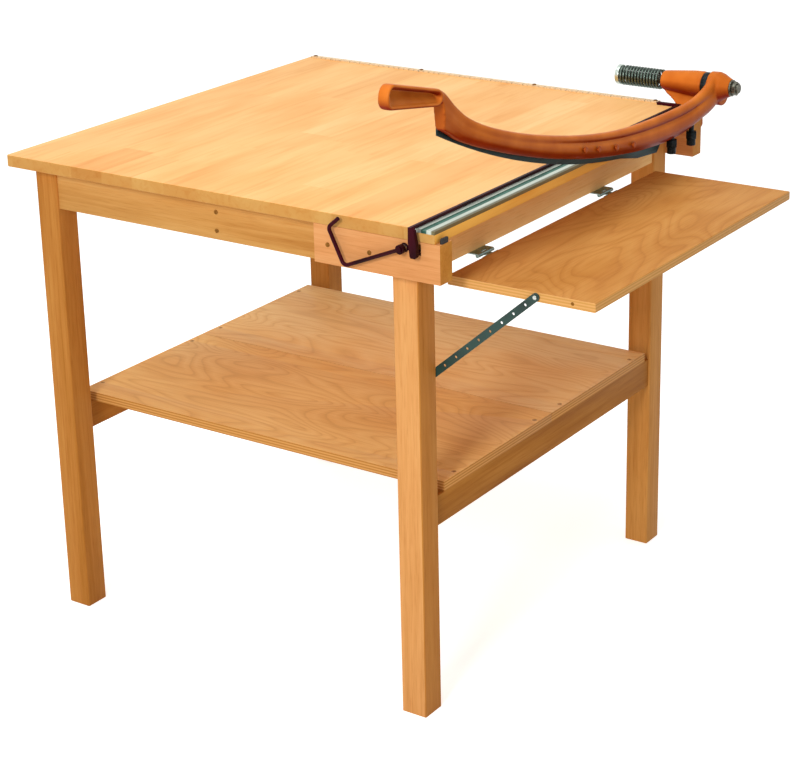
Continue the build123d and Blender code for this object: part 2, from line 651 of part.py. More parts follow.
WING_X = (FRAME_RIGHT + WING_GAP, FRAME_RIGHT + WING_GAP + WING_WIDTH)
WING_Y = (LEG_BACK_FACE + WING_LEG_GAP, LEG_BACK_FACE + WING_LEG_GAP + WING_LENGTH)
HINGE_X = FRAME_RIGHT + WING_GAP / 2
HINGE_Z = APRON_UNDER - HINGE_BARREL
WING_TOP = HINGE_Z
WING_UNDER = WING_TOP - WING_THICK
HINGE_Y = (WING_Y[0] + 0.185 * WING_LENGTH, WING_Y[0] + 0.76 * WING_LENGTH)
STAY_Y = (LEG_BACK_FACE + 0.3, LEG_BACK_FACE + 0.3 + STAY_THICK)
STAY_UPPER = (HINGE_X + STAY_UPPER_REACH, WING_TOP - WING_THICK / 2)
STAY_LOWER = (LEG_X[1] + LEG_SIDE / 2 + 1.0, STAY_UPPER[1] - STAY_DROP)


def make_hinge(y_mid):
    """Butt hinge: fixed leaf under the apron, moving leaf on the shelf's edge, pin."""
    third = HINGE_LENGTH / 3
    y = (y_mid - HINGE_LENGTH / 2, y_mid + HINGE_LENGTH / 2)
    knuckles = [(y[0], third - 0.3), (y[1] - third + 0.3, third - 0.3)]
    fixed = box((FRAME_RIGHT - APRON_RECESS - APRON_THICK + 2, HINGE_X), y, (APRON_UNDER - HINGE_LEAF, APRON_UNDER))
    gap = box((HINGE_X - HINGE_BARREL - 1, HINGE_X + 5), (y[0] + third - 0.3, y[1] - third + 0.3), (HINGE_Z - 6, APRON_UNDER))
    fixed = fixed - gap
    for start, length in knuckles:
        fixed += rod((HINGE_X, start, HINGE_Z), (0, 1, 0), HINGE_BARREL, length)
    pin = rod((HINGE_X, y[0], HINGE_Z), (0, 1, 0), HINGE_PIN, HINGE_LENGTH)
    knuckle_y = y[0] + third
    moving = rod((HINGE_X, knuckle_y, HINGE_Z), (0, 1, 0), HINGE_BARREL, third)
    moving += box((HINGE_X, WING_X[0]), (knuckle_y, knuckle_y + third), (WING_TOP - HINGE_LEAF, WING_TOP))
    moving += box((WING_X[0] - HINGE_LEAF, WING_X[0]), y, (WING_UNDER + 1, WING_TOP))
    moving = moving - rod((HINGE_X, y[0], HINGE_Z), (0, 1, 0), HINGE_PIN + RUNNING_GAP, HINGE_LENGTH)
    apron_mid = FRAME_RIGHT - APRON_RECESS - APRON_THICK / 2
    leaf_under = APRON_UNDER - HINGE_LEAF
    fixed_screws = [screw((apron_mid, y_mid + dy, leaf_under), (0, 0, 1), 3.5, 1.5, 1.8, 16) for dy in (-16, 16)]
    leaf_face = WING_X[0] - HINGE_LEAF
    mid_z = WING_TOP - WING_THICK / 2
    moving_screws = [screw((leaf_face, y_mid + dy, mid_z), (1, 0, 0), 3.5, 1.5, 1.8, 18) for dy in (-19, 19)]
    return cut(fixed, pin, *fixed_screws), cut(moving, *moving_screws), pin, fixed_screws, moving_screws


def make_stay():
    """Perforated flat stay, pinned to the shelf, hooked over a stud on the leg."""
    run_x = STAY_LOWER[0] - STAY_UPPER[0]
    run_z = STAY_LOWER[1] - STAY_UPPER[1]
    length = sqrt(run_x**2 + run_z**2)
    tilt = degrees(atan2(-run_z, run_x))
    place = Location((STAY_UPPER[0], STAY_Y[0], STAY_UPPER[1]), (0, tilt, 0))
    half = STAY_WIDTH / 2
    strip = box((0, length + 9), (0, STAY_THICK), (-half, half))
    strip += rod((0, 0, 0), (0, 1, 0), half, STAY_THICK)
    strip = fillet(strip.edges().filter_by(Axis.Y).sort_by(Axis.X)[-2:], 4.0)
    strip -= rod((0, -1, 0), (0, 1, 0), STAY_HOLE + RUNNING_GAP, STAY_THICK + 2)
    pitch = (length - 50) / (STAY_HOLES - 1)
    for n in range(STAY_HOLES):
        strip -= rod((25 + n * pitch, -1, 0), (0, 1, 0), STAY_HOLE, STAY_THICK + 2)
    stay = place * strip
    return stay


def hook_slot():
    """Slanted slot that lets the stay lift off the stud as the shelf is lowered."""
    x, z = STAY_LOWER
    lean = radians(17)
    seat = STAY_HOLE + 0.6
    reach = 30.0
    top = (x - reach * sin(lean), z + reach * cos(lean))
    channel = front_plate(
        [(x - seat, z), (x + seat, z), (top[0] + seat + 3, top[1]), (top[0] - seat, top[1])],
        STAY_Y[0] - 1,
        STAY_Y[1] + 1,
    )
    return channel + rod((x, STAY_Y[0] - 1, z), (0, 1, 0), seat, STAY_THICK + 2)


def make_wing():
    """Plywood side shelf with its stay screw and a plugged second screw place."""
    panel = box(WING_X, WING_Y, (WING_UNDER, WING_TOP))
    outer = panel.faces().sort_by(Axis.X)[-1].edges().filter_by(Axis.Y)
    panel = chamfer(outer, 1.0)
    x, z = STAY_UPPER
    head_y = STAY_Y[0] - 0.3
    stay_screw = rod((x, head_y - 2.4, z), (0, 1, 0), STAY_HEAD_RADIUS, 2.4)
    stay_screw += rod((x, head_y, z), (0, 1, 0), STAY_HOLE, 28)
    spacer = rod((x, STAY_Y[1] + 0.1, z), (0, 1, 0), STAY_HEAD_RADIUS, WING_Y[0] - STAY_Y[1] - 0.1)
    stay_screw += spacer
    spare = flush_screw((x + 67, WING_Y[0], z), (0, 1, 0), 3.2, 1.8, 20)
    return cut(panel, stay_screw, spare), stay_screw, spare


# ------------------------------------------------------------------- assembly

parts.update(make_legs())
parts.update(make_aprons())
parts["corner_blocks"] = make_corner_blocks()
shelf_pieces, shelf_screws = make_lower_shelf()
parts.update(shelf_pieces)
parts["shelf_screws"] = slotted(shelf_screws, (0, 0, 1), 4.4)
for name in shelf_pieces:
    if name != "shelf_cross_rail":
        parts[name] = cut(parts[name], *shelf_screws)

front_board, back_board = make_boards()
bed_knife, bed_screws = make_bed_knife()
rule, rule_screws = make_rule()
board_cuts, post_hole, clamp_bush = clamp_clearances()
board_z = BOARD_UNDER + FRONT_BOARD_HEIGHT / 2
board_left = BOARD_RIGHT - FRONT_BOARD_LENGTH
board_screws = [screw((board_left + dx, 0, board_z), (0, 1, 0), 4.0, 1.2, 2.2, 55) for dx in (28, 112)]
rail_screws = [screw((CENTRE_X, LEG_Y[0] + APRON_RECESS, z), (0, 1, 0), 4.0, 1.2, 2.2, 50) for z in (APRON_UNDER + 16, APRON_UNDER + 50)]
parts["table_top"] = cut(make_top(), post_hole, *bed_screws, *rule_screws)
parts["bed_knife"] = bed_knife
parts["bed_knife_screws"] = slotted(bed_screws, (0, 0, 1), 4.0)
parts["back_rule"] = rule
parts["back_rule_screws"] = rule_screws
parts["front_board_screws"] = board_screws
parts["centre_rail_screws"] = rail_screws
parts["cutter_front_board"] = cut(front_board, *board_cuts, *board_screws)
parts["front_apron"] = cut(parts["front_apron"], *board_screws, *rail_screws)
parts["centre_rail"] = cut(parts["centre_rail"], *rail_screws)
parts["clamp_bush"] = clamp_bush
parts["arm_stop_pad"] = make_stop_pad()

bracket, bushes = make_bracket()
bracket_bolts = make_bracket_bolts()
parts["pivot_bracket"] = cut(bracket, *bracket_bolts)
parts["bracket_bolts"] = bracket_bolts
parts["cutter_back_board"] = cut(back_board, post_hole, *bracket_bolts)
parts["pivot_bushes"] = bushes
parts["balance_spring"] = make_spring()

pivot = make_pivot()
parts.update(pivot)
beam, hub, boss, handle, window = make_arm()
blade_bolts, blade_screws = make_blade_bolts()
adjusters = make_adjusters()
arm = cut(beam + hub + boss + handle, window, pivot["pivot_shaft"], *blade_bolts, *blade_screws, *adjusters)
parts["arm_casting"] = arm
parts["cutting_blade"] = cut(make_blade(), *blade_bolts, *blade_screws)
parts["blade_bolts"] = blade_bolts
parts["blade_screws"] = slotted(blade_screws, (-1, 0, 0), 3.4)
parts["adjusting_screws"] = adjusters

parts["clamp_bar"] = make_clamp_bar()
parts.update(make_clamp_lever())

parts["side_shelf_panel"], parts["stay_screw"], parts["shelf_end_screw"] = make_wing()
fixed_screws, moving_screws, pins = [], [], []
for end, y_mid in zip(("front", "back"), HINGE_Y):
    fixed, moving, pin, in_apron, in_shelf = make_hinge(y_mid)
    parts[f"hinge_{end}_fixed_leaf"] = fixed
    parts[f"hinge_{end}_moving_leaf"] = moving
    pins.append(pin)
    fixed_screws += in_apron
    moving_screws += in_shelf
parts["hinge_pins"] = pins
parts["hinge_fixed_screws"] = fixed_screws
parts["hinge_moving_screws"] = moving_screws
parts["right_apron"] = cut(parts["right_apron"], *fixed_screws)
parts["side_shelf_panel"] = cut(parts["side_shelf_panel"], *moving_screws)

stud_head = rod((STAY_LOWER[0], STAY_Y[1] + 0.3, STAY_LOWER[1]), (0, 1, 0), 5.5, 2.4)
stay_stud = stud_head + rod((STAY_LOWER[0], LEG_BACK_FACE - 25, STAY_LOWER[1]), (0, 1, 0), STAY_HOLE, 28)
parts["stay_stud"] = stay_stud
parts["leg_front_right"] = cut(parts["leg_front_right"], stay_stud)
parts["shelf_stay"] = cut(make_stay(), hook_slot())


def as_compound(piece):
    """One shape from a solid or a list of separate solids."""
    solids = []
    for item in piece if isinstance(piece, list) else [piece]:
        solids += item.solids()
    return solids[0] if len(solids) == 1 else Compound(children=solids)


shapes = {name: as_compound(piece) for name, piece in parts.items()}
boxes = [shape.bounding_box() for shape in shapes.values()]
middle_x = (min(b.min.X for b in boxes) + max(b.max.X for b in boxes)) / 2
middle_y = (min(b.min.Y for b in boxes) + max(b.max.Y for b in boxes)) / 2
TO_ORIGIN = (-middle_x, -middle_y, 0)

os.makedirs("parts", exist_ok=True)
for name, shape in shapes.items():
    export_step(Pos(*TO_ORIGIN) * shape, f"parts/{name}.step")
print(len(shapes), "nodes, origin moved by", TO_ORIGIN)
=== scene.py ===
# %% [markdown]
# # A table paper cutter in maple, orange enamel and steel
# The object is a square work table with a long curved blade on its right edge. This lesson
# takes the finished mechanical model as a fixed frame and gives every piece its real surface.
# Wood, enamel, ground steel and rubber each get a material worked out from how that surface
# is made. The two castings get new, softer meshes, because a casting has no sharp edge, and
# the spacer between them is turned anew to fill the gap.

# %% Load the frame
import json
import math
import bmesh
import bpy
import numpy as np
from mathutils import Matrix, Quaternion, Vector


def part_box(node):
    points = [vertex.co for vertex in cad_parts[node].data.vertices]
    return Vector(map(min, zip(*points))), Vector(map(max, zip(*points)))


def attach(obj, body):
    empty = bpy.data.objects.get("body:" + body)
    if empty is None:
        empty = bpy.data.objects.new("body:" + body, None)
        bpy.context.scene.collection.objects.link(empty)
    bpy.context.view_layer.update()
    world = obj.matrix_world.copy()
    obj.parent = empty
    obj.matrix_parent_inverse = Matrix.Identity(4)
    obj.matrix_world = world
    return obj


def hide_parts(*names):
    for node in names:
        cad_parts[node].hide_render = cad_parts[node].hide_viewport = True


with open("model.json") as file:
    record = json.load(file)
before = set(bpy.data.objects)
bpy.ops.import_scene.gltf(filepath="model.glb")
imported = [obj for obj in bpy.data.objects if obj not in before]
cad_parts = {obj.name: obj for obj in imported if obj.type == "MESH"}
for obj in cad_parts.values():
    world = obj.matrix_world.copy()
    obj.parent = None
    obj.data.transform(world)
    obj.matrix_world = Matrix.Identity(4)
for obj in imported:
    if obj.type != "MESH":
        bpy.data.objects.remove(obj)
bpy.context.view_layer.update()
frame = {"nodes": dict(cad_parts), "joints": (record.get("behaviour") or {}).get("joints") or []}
nodes = frame["nodes"]
MM = 0.001

# %% [markdown]
# ## Places to build from
# Every new piece is placed from the frame: the pivot of the arm is a joint, and the top, the
# bed and the rule are boxes. Distances along the arm are then plain millimetres from the
# pivot, forward and up, which is how a pattern maker would mark out a casting.

# %% Named places
joints = {joint["name"]: joint for joint in frame["joints"]}
pivot = Vector(joints["arm_swing"]["pos_m"])
top_low, top_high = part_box("table_top")
ARM_INNER_X = pivot.x


def from_pivot(forward, up, across=0.0):
    """Point in millimetres from the arm's pivot: forward, up, and across from its inner face."""
    return Vector((ARM_INNER_X + across * MM, pivot.y - forward * MM, pivot.z + up * MM))


print("pivot", tuple(round(v, 4) for v in pivot), "top height", round(top_high.z, 4))

# %% [markdown]
# ## Helpers for materials
# A material is a small graph. One function adds a node with its settings and its links, and
# one turns a written sRGB colour into the linear numbers that the renderer works with. The
# others are short names for nodes that come up again and again.
# Everything reads object coordinates, in metres: each piece keeps its mesh where the frame has
# it, so the grain runs on through a board and stays in place when a part is moved.

# %% Material helpers
WHITE = "#FFFFFF"
FACING_LIMIT = 0.6


def linear(hex_colour):
    """Linear RGBA of an sRGB hex colour."""
    channels = [int(hex_colour[i:i + 2], 16) / 255 for i in (1, 3, 5)]
    return [c / 12.92 if c <= 0.04045 else ((c + 0.055) / 1.055) ** 2.4 for c in channels] + [1.0]


def add(tree, kind, settings=None, links=None):
    """Adds a node, sets its properties or sockets, and links sockets to other nodes' outputs."""
    made = tree.nodes.new(kind)
    for key, value in (settings or {}).items():
        if isinstance(key, str) and hasattr(made, key):
            setattr(made, key, value)
        else:
            made.inputs[key].default_value = value
    for key, source in (links or {}).items():
        tree.links.new(source, made.inputs[key])
    return made


def ramp(tree, source, stops):
    """Colour ramp from (position, hex colour) stops."""
    made = add(tree, "ShaderNodeValToRGB", links={"Fac": source})
    elements = made.color_ramp.elements
    while len(elements) < len(stops):
        elements.new(0.5)
    for element, (position, colour) in zip(elements, stops):
        element.position = position
        element.color = linear(colour)
    return made.outputs["Color"]


def new_material(name, settings):
    """Empty material with one Principled shader, and the object's coordinates."""
    made = bpy.data.materials.new(name)
    made.use_nodes = True
    tree = made.node_tree
    tree.nodes.clear()
    shader = add(tree, "ShaderNodeBsdfPrincipled", settings)
    add(tree, "ShaderNodeOutputMaterial", links={"Surface": shader.outputs["BSDF"]})
    place = add(tree, "ShaderNodeTexCoord").outputs["Object"]
    return made, tree, shader, place


def calc(tree, operation, first, second=None):
    """One sum on a socket, with a second value that is a number or a socket."""
    settings, links = {"operation": operation}, {0: first}
    if isinstance(second, (int, float)):
        settings[1] = second
    elif second is not None:
        links[1] = second
    return add(tree, "ShaderNodeMath", settings, links).outputs[0]


def noise(tree, vector, detail, scale=1.0, roughness=0.5, distortion=0.0):
    """Noise value over a vector."""
    settings = {
        "Scale": scale, "Detail": detail, "Roughness": roughness, "Distortion": distortion
    }
    return add(tree, "ShaderNodeTexNoise", settings, {"Vector": vector}).outputs["Fac"]


def spread(tree, value, source_range, target_range=(0.0, 1.0)):
    """A value mapped from one range to another, and held at the ends."""
    settings = {
        "From Min": source_range[0], "From Max": source_range[1],
        "To Min": target_range[0], "To Max": target_range[1],
    }
    return add(tree, "ShaderNodeMapRange", settings, {"Value": value}).outputs["Result"]


def part_of(tree, vector, axis):
    """One coordinate of a vector."""
    return add(tree, "ShaderNodeSeparateXYZ", links={"Vector": vector}).outputs[axis.upper()]


def facing(tree, axis):
    """1 where a face looks along an axis of its own piece, either way, and 0 elsewhere."""
    normal = add(tree, "ShaderNodeTexCoord").outputs["Normal"]
    size = calc(tree, "ABSOLUTE", part_of(tree, normal, axis))
    return calc(tree, "GREATER_THAN", size, FACING_LIMIT)


def tint(tree, mask, colour):
    """White, turning to a colour where the mask is 1."""
    return ramp(tree, mask, [(0.0, WHITE), (1.0, colour)])


def multiply(tree, colour_a, colour_b, share=1.0):
    """Two colours multiplied, the second at a share of its strength."""
    made = add(
        tree, "ShaderNodeMix", {"data_type": "RGBA", "blend_type": "MULTIPLY", 0: share}
    )
    tree.links.new(colour_a, made.inputs[6])
    tree.links.new(colour_b, made.inputs[7])
    return made.outputs[2]


def bump(tree, height, strength, depth_mm):
    """Normal from a height, with its depth in millimetres."""
    settings = {"Strength": strength, "Distance": depth_mm * MM}
    return add(tree, "ShaderNodeBump", settings, {"Height": height}).outputs["Normal"]


print("helpers ready")

# %% [markdown]
# ## Maple, lacquered
# The frame is hard maple under clear satin lacquer. Maple is pale and close-grained: the eye
# reads long soft streaks, a slow change of tone along the board, and short fine pores. The
# streaks are noise stretched 34 times along the grain, so one value, the grain's
# direction, decides how a board looks. Lacquer leaves a satin gloss, with almost no relief.

# %% Maple boards
WANDER_WIDTH = 42.0
STREAK_WIDTH = 7.0
PORE_WIDTH = 1.6
WOOD_SHINE = 0.06
END_GRAIN = "#ECE2A0"
AXES = {"x": 0, "y": 1, "z": 2}


def grain_space(tree, place, axis, width_mm, stretch, offset=(0.0, 0.0, 0.0)):
    """Coordinates in which one unit is a feature's width, drawn out along the grain."""
    scale = [1 / (width_mm * MM)] * 3
    scale[AXES[axis]] /= stretch
    made = add(tree, "ShaderNodeMapping", {"Scale": scale, "Location": offset}, {"Vector": place})
    return made.outputs["Vector"]


def solid_maple(name, axis, dark, middle, light, seed, side_shade=WHITE):
    """Solid maple with its grain along one axis, and painted shade on the faces that look along x.
    """
    made, tree, shader, place = new_material(
        name, {"Roughness": 0.5, "IOR": 1.5, "Specular IOR Level": WOOD_SHINE}
    )
    shift = (seed * 7.3, seed * 3.1, seed * 5.7)
    slow = grain_space(tree, place, axis, WANDER_WIDTH, 9.0, shift)
    wander = noise(tree, slow, 3.0, roughness=0.55)
    quick = grain_space(tree, place, axis, STREAK_WIDTH, 34.0, shift)
    streaks = noise(tree, quick, 4.0, roughness=0.55, distortion=0.4)
    pores = noise(tree, grain_space(tree, place, axis, PORE_WIDTH, 26.0, shift), 2.0)
    both = add(
        tree, "ShaderNodeMix", {"data_type": "FLOAT", 0: 0.4}, {2: wander, 3: streaks}
    ).outputs[0]
    body = ramp(tree, both, [(0.34, dark), (0.5, middle), (0.66, light)])
    fine = ramp(tree, pores, [(0.30, "#E0CBB0"), (0.48, WHITE)])
    colour = multiply(tree, body, fine, 0.4)
    cut_end = tint(tree, facing(tree, axis), END_GRAIN)
    # Painted shade: the last colour argument darkens the faces that look along x.
    painted_side_shade = tint(tree, facing(tree, "x"), side_shade)
    colour = multiply(tree, multiply(tree, colour, cut_end), painted_side_shade)
    tree.links.new(colour, shader.inputs["Base Color"])
    tree.links.new(bump(tree, streaks, 0.25, 0.12), shader.inputs["Normal"])
    return made


# Painted shade: the front right leg's sides, its faces that look along x, get a darker tint.
maple_leg_front = solid_maple("maple_leg_front", "z", "#CC8C4B", "#DB9C5C", "#E3A969", 1, "#E2D2A6")
# Painted shade: the left legs take a darker copy of the leg maple, for the shade that falls on
# them.
maple_leg_painted_shade = solid_maple("maple_leg_painted_shade", "z", "#A86A25", "#B87834", "#C4863F", 2)
# Painted light: the back right leg takes a brighter copy of the leg maple, for light that its
# shaded front lacks.
maple_leg_painted_light = solid_maple("maple_leg_painted_light", "z", "#BE7F3C", "#CE9049", "#DA9E58", 6)
maple_apron_front = solid_maple("maple_apron_front", "x", "#B87E3C", "#C7904C", "#D29F5C", 3)
# Painted light: the side aprons' maple is brightened, for light on the right apron, which sits in
# shade under the bed.
maple_apron_painted_light = solid_maple("maple_apron_painted_light", "y", "#FAC67C", "#FED08A", "#FFDA98", 4)
maple_stretcher = solid_maple("maple_stretcher", "y", "#9A5E20", "#AC6F2B", "#BC7F38", 7)
maple_board = solid_maple("maple_board_rosy", "x", "#CA874E", "#D8955C", "#E0A36B", 5)
print("maple", [m.name for m in bpy.data.materials if m.name.startswith("maple")])

# %% [markdown]
# ## The edge-glued top
# The top is staves of maple 72 mm wide, glued side by side with their ends staggered. Each
# stave came from another board, so each has its own tone. The stave's number is its distance
# across the top divided by its width, rounded down, and a white-noise value of that number is
# the stave's colour. The same is done along the length, and the joints move from stave to
# stave.

# %% Edge-glued maple
STAVE_WIDTH = 72.0
STAVE_LENGTH = 520.0


def edge_glued_maple(name):
    """Staves side by side, each with its own tone, under satin lacquer."""
    made, tree, shader, place = new_material(
        name, {"Roughness": 0.45, "IOR": 1.5, "Specular IOR Level": WOOD_SHINE}
    )
    lane = calc(tree, "DIVIDE", part_of(tree, place, "x"), STAVE_WIDTH * MM)
    lane = calc(tree, "FLOOR", lane)
    slip = add(
        tree, "ShaderNodeTexWhiteNoise", {"noise_dimensions": "1D"}, {"W": lane}
    ).outputs["Value"]
    run = calc(tree, "DIVIDE", part_of(tree, place, "y"), STAVE_LENGTH * MM)
    run = calc(tree, "FLOOR", calc(tree, "ADD", run, slip))
    key = add(tree, "ShaderNodeCombineXYZ", links={"X": lane, "Y": run}).outputs["Vector"]
    own = add(tree, "ShaderNodeTexWhiteNoise", {"noise_dimensions": "2D"}, {"Vector": key})
    shift = add(
        tree, "ShaderNodeVectorMath", {"operation": "MULTIPLY_ADD", 1: (9.0, 9.0, 9.0)},
        {0: own.outputs["Color"], 2: grain_space(tree, place, "y", 13.0, 20.0)},
    ).outputs["Vector"]
    streaks = noise(tree, shift, 4.0, roughness=0.55, distortion=0.9)
    cloud = noise(tree, grain_space(tree, place, "y", 60.0, 4.0), 2.0)
    tone = ramp(tree, own.outputs["Value"], [
        (0.0, "#EDAF6B"), (0.12, "#F6BC78"), (0.6, "#FAC47F"), (1.0, "#FDCA88")
    ])
    grain = ramp(tree, streaks, [(0.28, "#F0D8B8"), (0.52, WHITE)])
    glow = ramp(tree, cloud, [(0.35, "#F6E3CC"), (0.6, WHITE)])
    colour = multiply(tree, multiply(tree, tone, grain, 0.5), glow, 0.6)
    cut_end = tint(tree, facing(tree, "y"), "#D1CBB1")
    # Painted shade: the top's edges that look along x get a darker tint.
    painted_side_shade = tint(tree, facing(tree, "x"), "#FFF1AD")
    colour = multiply(tree, multiply(tree, colour, cut_end), painted_side_shade)
    tree.links.new(colour, shader.inputs["Base Color"])
    tree.links.new(bump(tree, streaks, 0.2, 0.1), shader.inputs["Normal"])
    return made


maple_top = edge_glued_maple("maple_edge_glued")
print("top", maple_top.name, "staves", round((top_high.x - top_low.x) / (STAVE_WIDTH * MM)))

# %% [markdown]
# ## Rotary-cut plywood
# The shelves are birch plywood. Its face is peeled from a turning log, so the rings open into
# wide, wandering loops instead of straight lines. Contour lines of a slow noise look just like
# that: the noise is multiplied up and its fraction taken, which draws one line per level.
# The edges show the plies, which are bands of the height, 2.6 mm each.

# %% Plywood
PLY = 2.6
RING_LEVELS = 15.0


def rotary_plywood(name, axis, dark, light, seed, edge_dark, edge_light):
    """Peeled veneer face, with plies on the edges."""
    made, tree, shader, place = new_material(
        name, {"Roughness": 0.48, "IOR": 1.5, "Specular IOR Level": WOOD_SHINE}
    )
    shift = (seed * 4.1, seed * 2.7, 0.0)
    loops = grain_space(tree, place, axis, 120.0, 3.2, shift)
    slow = noise(tree, loops, 1.0, roughness=0.4, distortion=0.5)
    rings = calc(tree, "FRACT", calc(tree, "MULTIPLY", slow, RING_LEVELS))
    fine = noise(tree, grain_space(tree, place, axis, 4.0, 22.0, shift), 3.0, roughness=0.6)
    cloud = noise(tree, grain_space(tree, place, axis, 130.0, 2.0, shift), 2.0)
    face = ramp(tree, cloud, [(0.3, dark), (0.68, light)])
    line = ramp(tree, rings, [
        (0.0, "#CFA678"), (0.14, "#EBD3B6"), (0.5, WHITE), (0.9, "#F6E8D6"), (1.0, "#CFA678")
    ])
    speck = ramp(tree, fine, [(0.34, "#E6CFB4"), (0.52, WHITE)])
    colour = multiply(tree, multiply(tree, face, line, 0.34), speck, 0.35)
    plies = calc(tree, "DIVIDE", part_of(tree, place, "z"), 2 * PLY * MM)
    plies = calc(tree, "FRACT", plies)
    band = ramp(tree, plies, [(0.42, edge_dark), (0.58, edge_light)])
    mixed = add(
        tree, "ShaderNodeMix", {"data_type": "RGBA"}, {0: facing(tree, "z"), 6: band, 7: colour}
    ).outputs[2]
    tree.links.new(mixed, shader.inputs["Base Color"])
    tree.links.new(bump(tree, fine, 0.2, 0.08), shader.inputs["Normal"])
    return made


# Painted light: both lower shelf boards are brightened for the light that the top keeps from them,
# the back one most.
birch_lower_painted_light = rotary_plywood("birch_ply_lower_painted_light", "x", "#F1BA70", "#FACC86", 1, "#B97B38", "#D69C58")
birch_back_painted_light = rotary_plywood(
    "birch_ply_back_painted_light", "x", "#FAC984", "#FFDA9C", 6, "#B97B38", "#D69C58"
)
birch_side = rotary_plywood("birch_ply_side", "y", "#C58640", "#D69A54", 3, "#CE9650", "#DFA764")
print("plywood", birch_lower_painted_light.name, birch_side.name)

# %% [markdown]
# ## Metals, enamel and rubber
# The bed bar is ground steel: its scratches run along it and stretch the highlights across.
# The castings are orange enamel over cast iron, with the soft unevenness that sand leaves under
# paint. Small parts are zinc plate, black oxide or dark red enamel. For each, the metallic value
# is either 0 or 1, and what varies is the roughness, because that is what the process changes.

# %% Ground and plated steel


def ground_steel(name, axis, colour, dark, roughness):
    """Bare steel with grinding lines along one axis."""
    made, tree, shader, place = new_material(name, {"Metallic": 1.0, "Roughness": roughness})
    lines = noise(tree, grain_space(tree, place, axis, 1.2, 60.0), 3.0, roughness=0.6)
    tree.links.new(ramp(tree, lines, [(0.3, dark), (0.6, colour)]), shader.inputs["Base Color"])
    rough = spread(tree, lines, (0.0, 1.0), (roughness - 0.08, roughness + 0.12))
    tree.links.new(rough, shader.inputs["Roughness"])
    tree.links.new(bump(tree, lines, 0.3, 0.05), shader.inputs["Normal"])
    return made


def plated(name, colour, dark, roughness):
    """Zinc plate or black oxide on a turned or pressed part: a fine mottled sheen."""
    made, tree, shader, place = new_material(name, {"Metallic": 1.0, "Roughness": roughness})
    mottle = noise(tree, place, 3.0, scale=1 / (2.2 * MM))
    tree.links.new(ramp(tree, mottle, [(0.35, dark), (0.62, colour)]), shader.inputs["Base Color"])
    rough = spread(tree, mottle, (0.0, 1.0), (roughness - 0.07, roughness + 0.1))
    tree.links.new(rough, shader.inputs["Roughness"])
    return made


bed_low, bed_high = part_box("bed_knife")
GROOVE_CENTRE = 17.1
GROOVE_EDGE = (6.2, 4.2)
EDGE_BAND = (8.0, 5.0)


def grooved_steel(name):
    """Ground steel with painted shade: dark teal in its groove and brown along its outer rim."""
    made = ground_steel(name, "y", "#D6DED1", "#B4BEB1", 0.42)
    tree = made.node_tree
    shader = next(node for node in tree.nodes if node.type == "BSDF_PRINCIPLED")
    bare = shader.inputs["Base Color"].links[0].from_socket
    place = add(tree, "ShaderNodeTexCoord").outputs["Object"]
    across = part_of(tree, place, "x")
    # Painted shade: the groove is tinted dark teal.
    off = calc(tree, "SUBTRACT", across, bed_low.x + GROOVE_CENTRE * MM)
    inside = spread(tree, calc(tree, "ABSOLUTE", off), [edge * MM for edge in GROOVE_EDGE])
    groove_painted_shade = tint(tree, inside, "#5F8F86")
    # Painted shade: a brown band along the outer rim of the bed bar.
    rim = spread(tree, across, [bed_high.x - edge * MM for edge in EDGE_BAND])
    rim_painted_shade = tint(tree, rim, "#94866A")
    tree.links.new(multiply(tree, multiply(tree, bare, groove_painted_shade), rim_painted_shade), shader.inputs["Base Color"])
    return made


bed_steel = grooved_steel("steel_ground_bed")
blade_steel = ground_steel("steel_blued_blade", "y", "#22393B", "#0C1517", 0.42)
zinc = plated("steel_zinc_plated", "#C6CAC4", "#9DA29D", 0.34)
spring_steel = plated("steel_spring_wire", "#6C7A70", "#36403A", 0.32)
spring_end = plated("steel_spring_end", "#D3DDD5", "#B2BEB5", 0.3)
dull_steel = plated("steel_dull_oiled", "#77776A", "#3E3E36", 0.42)
black_oxide = plated("steel_black_oxide", "#2A2E30", "#15191B", 0.45)
shelf_screw = plated("steel_brassed_screw", "#C8965A", "#A5743F", 0.5)
dark_screw = plated("steel_browned_screw", "#98682F", "#70491B", 0.5)
hinge_zinc = plated("steel_hinge_zinc", "#8FA39E", "#6A7F7A", 0.4)
painted_bolt = plated("steel_bolt_overpainted", "#A8501F", "#7E3614", 0.5)
bronze = plated("bronze_sintered", "#B98F4E", "#8A6630", 0.5)
print("metals", bed_steel.name, blade_steel.name, zinc.name)

# %% Enamel, oxide paint and rubber
UNDERSIDE = (0.25, -0.55)


def enamel(name, body, deep, roughness, relief_mm, shine, under=WHITE):
    """Stoved enamel, uneven as the metal under it is, with painted shade on faces that look down.
    """
    made, tree, shader, place = new_material(
        name, {"Roughness": roughness, "IOR": 1.5, "Specular IOR Level": shine}
    )
    skin = noise(tree, place, 4.0, scale=1 / (9.0 * MM), roughness=0.55)
    slow = noise(tree, place, 2.0, scale=1 / (60.0 * MM))
    outward = add(tree, "ShaderNodeTexCoord").outputs["Normal"]
    # Painted shade: faces that look down are multiplied by the under colour.
    below = spread(tree, part_of(tree, outward, "z"), UNDERSIDE)
    painted_underside_shade = tint(tree, below, under)
    coat = ramp(tree, slow, [(0.35, deep), (0.62, body)])
    tree.links.new(multiply(tree, coat, painted_underside_shade), shader.inputs["Base Color"])
    tree.links.new(bump(tree, skin, 0.35, relief_mm), shader.inputs["Normal"])
    return made


def rubber(name, colour):
    """Moulded rubber: dark, matt and slightly dusty."""
    made, tree, shader, place = new_material(name, {"Roughness": 0.75, "IOR": 1.52})
    dust = noise(tree, place, 2.0, scale=1 / (1.5 * MM))
    tree.links.new(ramp(tree, dust, [(0.4, colour), (0.8, "#2C2B2A")]), shader.inputs["Base Color"])
    return made


